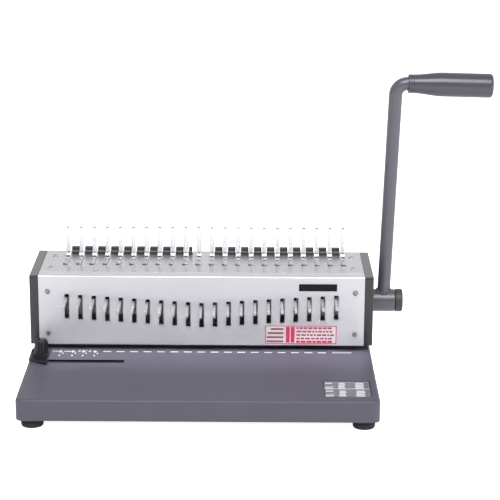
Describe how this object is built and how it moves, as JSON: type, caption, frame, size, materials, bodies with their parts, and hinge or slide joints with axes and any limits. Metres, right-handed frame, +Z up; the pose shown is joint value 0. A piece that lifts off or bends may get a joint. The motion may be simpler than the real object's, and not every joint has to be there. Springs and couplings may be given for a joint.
{
  "type": "comb binding machine",
  "caption": "Lever-driven punch and comb opener: sheet-metal base on rubber feet, slotted panel with rod pulls, upright tines and hooks on the deck, side lever with a thick grip.",
  "frame": {"origin": "centre of the overall box at the bottom of the feet, lever upright", "axes": "+X towards the lever, +Y to the back, +Z up"},
  "size_m": [0.4844, 0.285, 0.3296],
  "materials": {
    "base_paint": "satin grey powder coat",
    "lever_paint": "satin grey paint",
    "grip_rubber": "soft grey grip",
    "panel_steel": "brushed, fine sideways grain",
    "polished_steel": "polished",
    "cap_plastic": "fine-grained black-grey plastic",
    "black_plastic": "black plastic",
    "black_steel": "black oxide",
    "frame_steel": "zinc plated plate",
    "punch_steel": "ground tool steel",
    "cover_paint": "dark grey powder coat",
    "foot_rubber": "black rubber",
    "screw_steel": "nickel plated",
    "bush_bronze": "sintered bronze",
    "plate_black": "bare black plate",
    "label_film": "printed film, plain rules only"
  },
  "bodies": {
    "frame": {"base_tray": "base_paint", "bottom_plate": "cover_paint", "feet": "foot_rubber", "foot_screws": "screw_steel", "left_frame": "frame_steel", "right_frame": "frame_steel", "left_end_cap": "cap_plastic", "right_end_cap": "cap_plastic", "front_panel": "panel_steel", "top_cover": "polished_steel", "rear_cover": "cover_paint", "guide_block": "black_steel", "die_plate": "punch_steel", "throat_spacer": "black_steel", "die_bolts": "black_steel", "shaft_bushes": "bush_bronze", "comb_tines": "polished_steel", "badge_plate": "plate_black", "labels": "label_film", "case_screws": "screw_steel"},
    "lever": {"main_shaft": "punch_steel", "eccentrics": "frame_steel", "hook_arms": "frame_steel", "shaft_rings": "black_steel", "lever_arm": "lever_paint", "lever_grip": "grip_rubber", "hub_cap": "cap_plastic", "hub_pin": "frame_steel"},
    "punch_carriage": {"punch_bar": "frame_steel", "punch_pins": "punch_steel", "yoke_plates": "frame_steel", "yoke_screws": "screw_steel"},
    "hook_carriage": {"hook_rack": "black_steel", "slide_plates": "frame_steel", "slide_studs": "punch_steel"},
    "edge_guide_slider": {"edge_guide": "black_plastic", "guide_clamp": "frame_steel"},
    "drawer": {"chip_drawer": "cover_paint"},
    "pull_01": {"release_pull_01": "polished_steel"},
    "pull_02": {"release_pull_02": "polished_steel"},
    "pull_03": {"release_pull_03": "polished_steel"},
    "pull_04": {"release_pull_04": "polished_steel"},
    "pull_05": {"release_pull_05": "polished_steel"},
    "pull_06": {"release_pull_06": "polished_steel"},
    "pull_07": {"release_pull_07": "polished_steel"},
    "pull_08": {"release_pull_08": "polished_steel"},
    "pull_09": {"release_pull_09": "polished_steel"},
    "pull_10": {"release_pull_10": "polished_steel"},
    "pull_11": {"release_pull_11": "polished_steel"},
    "pull_12": {"release_pull_12": "polished_steel"},
    "pull_13": {"release_pull_13": "polished_steel"},
    "pull_14": {"release_pull_14": "polished_steel"},
    "pull_15": {"release_pull_15": "polished_steel"},
    "pull_16": {"release_pull_16": "polished_steel"},
    "pull_17": {"release_pull_17": "polished_steel"},
    "pull_18": {"release_pull_18": "polished_steel"},
    "pull_19": {"release_pull_19": "polished_steel"},
    "pull_20": {"release_pull_20": "polished_steel"},
    "pull_21": {"release_pull_21": "polished_steel"}
  },
  "joints": [
    {"name": "lever_hinge", "type": "hinge", "parent": "frame", "child": "lever", "pos_m": [-0.06006, 0.0553, 0.0744], "axis": [1, 0, 0], "range_deg": [0, 74]},
    {"name": "punch_slide", "type": "slide", "parent": "frame", "child": "punch_carriage", "axis": [0, 0, -1], "range_m": [0, 0.01095]},
    {"name": "hook_slide", "type": "slide", "parent": "frame", "child": "hook_carriage", "axis": [0, 1, 0], "range_m": [0, 0.02407]},
    {"name": "guide_slide", "type": "slide", "parent": "frame", "child": "edge_guide_slider", "axis": [1, 0, 0], "range_m": [0, 0.08]},
    {"name": "drawer_slide", "type": "slide", "parent": "frame", "child": "drawer", "axis": [0, 1, 0], "range_m": [0, 0.1]},
    {"name": "pull_slide_01", "type": "slide", "parent": "punch_carriage", "child": "pull_01", "axis": [0, -1, 0], "range_m": [0, 0.0065]},
    {"name": "pull_slide_02", "type": "slide", "parent": "punch_carriage", "child": "pull_02", "axis": [0, -1, 0], "range_m": [0, 0.0065]},
    {"name": "pull_slide_03", "type": "slide", "parent": "punch_carriage", "child": "pull_03", "axis": [0, -1, 0], "range_m": [0, 0.0065]},
    {"name": "pull_slide_04", "type": "slide", "parent": "punch_carriage", "child": "pull_04", "axis": [0, -1, 0], "range_m": [0, 0.0065]},
    {"name": "pull_slide_05", "type": "slide", "parent": "punch_carriage", "child": "pull_05", "axis": [0, -1, 0], "range_m": [0, 0.0065]},
    {"name": "pull_slide_06", "type": "slide", "parent": "punch_carriage", "child": "pull_06", "axis": [0, -1, 0], "range_m": [0, 0.0065]},
    {"name": "pull_slide_07", "type": "slide", "parent": "punch_carriage", "child": "pull_07", "axis": [0, -1, 0], "range_m": [0, 0.0065]},
    {"name": "pull_slide_08", "type": "slide", "parent": "punch_carriage", "child": "pull_08", "axis": [0, -1, 0], "range_m": [0, 0.0065]},
    {"name": "pull_slide_09", "type": "slide", "parent": "punch_carriage", "child": "pull_09", "axis": [0, -1, 0], "range_m": [0, 0.0065]},
    {"name": "pull_slide_10", "type": "slide", "parent": "punch_carriage", "child": "pull_10", "axis": [0, -1, 0], "range_m": [0, 0.0065]},
    {"name": "pull_slide_11", "type": "slide", "parent": "punch_carriage", "child": "pull_11", "axis": [0, -1, 0], "range_m": [0, 0.0065]},
    {"name": "pull_slide_12", "type": "slide", "parent": "punch_carriage", "child": "pull_12", "axis": [0, -1, 0], "range_m": [0, 0.0065]},
    {"name": "pull_slide_13", "type": "slide", "parent": "punch_carriage", "child": "pull_13", "axis": [0, -1, 0], "range_m": [0, 0.0065]},
    {"name": "pull_slide_14", "type": "slide", "parent": "punch_carriage", "child": "pull_14", "axis": [0, -1, 0], "range_m": [0, 0.0065]},
    {"name": "pull_slide_15", "type": "slide", "parent": "punch_carriage", "child": "pull_15", "axis": [0, -1, 0], "range_m": [0, 0.0065]},
    {"name": "pull_slide_16", "type": "slide", "parent": "punch_carriage", "child": "pull_16", "axis": [0, -1, 0], "range_m": [0, 0.0065]},
    {"name": "pull_slide_17", "type": "slide", "parent": "punch_carriage", "child": "pull_17", "axis": [0, -1, 0], "range_m": [0, 0.0065]},
    {"name": "pull_slide_18", "type": "slide", "parent": "punch_carriage", "child": "pull_18", "axis": [0, -1, 0], "range_m": [0, 0.0065]},
    {"name": "pull_slide_19", "type": "slide", "parent": "punch_carriage", "child": "pull_19", "axis": [0, -1, 0], "range_m": [0, 0.0065]},
    {"name": "pull_slide_20", "type": "slide", "parent": "punch_carriage", "child": "pull_20", "axis": [0, -1, 0], "range_m": [0, 0.0065]},
    {"name": "pull_slide_21", "type": "slide", "parent": "punch_carriage", "child": "pull_21", "axis": [0, -1, 0], "range_m": [0, 0.0065]}
  ],
  "couplings": [
    {"joint": "punch_slide", "follows": "lever_hinge", "m_per_rad": 0.0084806},
    {"joint": "hook_slide", "follows": "lever_hinge", "m_per_rad": 0.018639}
  ]
}
